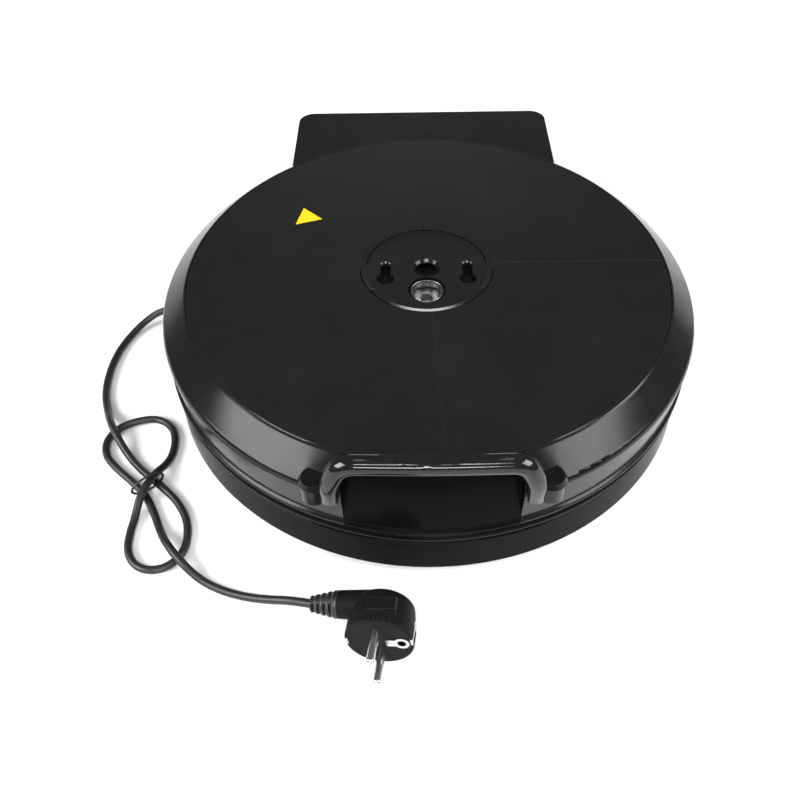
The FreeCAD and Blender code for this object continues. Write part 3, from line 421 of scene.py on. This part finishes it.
def plug_boot():
    """Tapered boot with four bands, each slotted on its two broad sides."""
    start, end = -41.0, -25.0                  # along the plug's own X
    narrow, widening = 4.3, 3.5
    bands, banded_share = 4, 0.88
    band_height, slot_depth = 0.45, 1.9
    along, around = 96, 72
    rows = []
    for k in range(along + 1):
        share = k / along
        radius = narrow + widening * share
        wave = 0.5 - 0.5 * math.cos(2 * math.pi * bands * min(1.0, share / banded_share))
        row = []
        for m in range(around):
            angle = 2 * math.pi * m / around
            broad = max(0.0, abs(math.sin(angle)) - 0.55) / 0.45
            slot = min(1.0, 5.0 * broad) * max(0.0, min(1.0, 4.0 * (wave - 0.55)))
            bulge = band_height * (1 - wave) * (1.0 if share < 0.9 else 0.0)
            reach = radius + bulge - slot_depth * slot
            row.append(on_plug(start + (end - start) * share,
                               CORD_BEHIND_FACE + reach * math.sin(angle),
                               CORD_ABOVE_MIDDLE + reach * math.cos(angle)))
        rows.append(row)
    boot = mesh_piece("plug_boot_ribbed", rows, finishes["black_rubber"], "base", caps=True)
    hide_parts("plug_boot")


def grip_ribs():
    """Five low ribs on the plug's top, between its face and the pad."""
    first, pitch = -2.6, 2.6
    start, length = 1.6, 4.8
    half_width, height, sunk = 0.75, 0.6, 0.15
    along, around = 12, 12
    for k in range(5):
        middle = first + pitch * k
        top = math.sqrt(PLUG_RADIUS ** 2 - middle ** 2)
        rows = []
        for step in range(along + 1):
            share = step / along
            swell = math.sqrt(max(0.0, 1 - (2 * share - 1) ** 4))
            row = []
            for m in range(around):
                angle = 2 * math.pi * m / around
                row.append(on_plug(middle + half_width * swell * math.cos(angle),
                                   start + length * share,
                                   top - sunk + height * swell * math.sin(angle)))
            rows.append(row)
        rib = mesh_piece("plug_rib_%d" % k, rows, finishes["black_matte"], "base", caps=True)


plug_boot()
grip_ribs()

# Turned and boxy nodes get flat faces that stay flat and edges that stay crisp.
CRISP_ANGLE = 24
PANEL_ANGLE = 17                 # just under the recess's shallow slope
for name in ("lid_panel", "lid_ring", "hinge_cover", "base_shell", "base_rim", "front_panel",
             "stud_cup", "stud_washer", "plug_body"):
    split = frame["nodes"][name].modifiers.new("crisp_edges", "EDGE_SPLIT")
    split.split_angle = math.radians(PANEL_ANGLE if name == "lid_panel" else CRISP_ANGLE)
    flat = frame["nodes"][name].modifiers.new("flat_faces", "WEIGHTED_NORMAL")
    flat.weight = 100

# ------------------------------------------------------------------ floor and light
floor_mesh = bmesh.new()
bmesh.ops.create_grid(floor_mesh, x_segments=8, y_segments=8, size=4.0)
floor_data = bpy.data.meshes.new("floor")
floor_mesh.to_mesh(floor_data)
floor_mesh.free()
floor = bpy.data.objects.new("floor", floor_data)
scene.collection.objects.link(floor)
floor.data.materials.append(material("floor_pale", (0.86, 0.86, 0.86), (0.88, 0.88, 0.88),
                                     (0.8, 0.9), bump=0.0, specular=0.1, patch=2.0))

world = bpy.data.worlds.new("studio")
scene.world = world
world.use_nodes = True
world.node_tree.nodes["Background"].inputs["Color"].default_value = (1, 1, 1, 1)
world.node_tree.nodes["Background"].inputs["Strength"].default_value = 0.20


def softbox(name, place, target, width, height, watts):
    """A rectangular soft light at place, facing target."""
    data = bpy.data.lights.new(name, "AREA")
    data.shape = "RECTANGLE"
    data.size, data.size_y = width, height
    data.energy = watts
    lamp = bpy.data.objects.new(name, data)
    lamp.location = place
    lamp.rotation_mode = "QUATERNION"
    lamp.rotation_quaternion = (Vector(target) - Vector(place)).to_track_quat("-Z", "Y")
    scene.collection.objects.link(lamp)


MACHINE = (0, -0.05, 0.05)       # where the side lights point
softbox("left_box", (-1.25, -0.52, 0.90), MACHINE, 1.0, 0.6, 30)
softbox("right_box", (1.27, -0.36, 0.92), MACHINE, 1.2, 0.6, 28)
softbox("top_box", (0.0, 0.10, 2.2), (0, -0.05, 0.0), 1.2, 0.7, 6)
softbox("high_strip", (0.0, -1.15, 1.45), (0, -0.15, 0.1), 0.9, 0.12, 9)
softbox("low_strip", (0.0, -1.60, 0.72), (0, -0.15, 0.1), 0.8, 0.12, 12)
softbox("back_strip", (0.0, 1.5, 0.25), (0, 0.0, 0.08), 0.9, 0.08, 2.2)
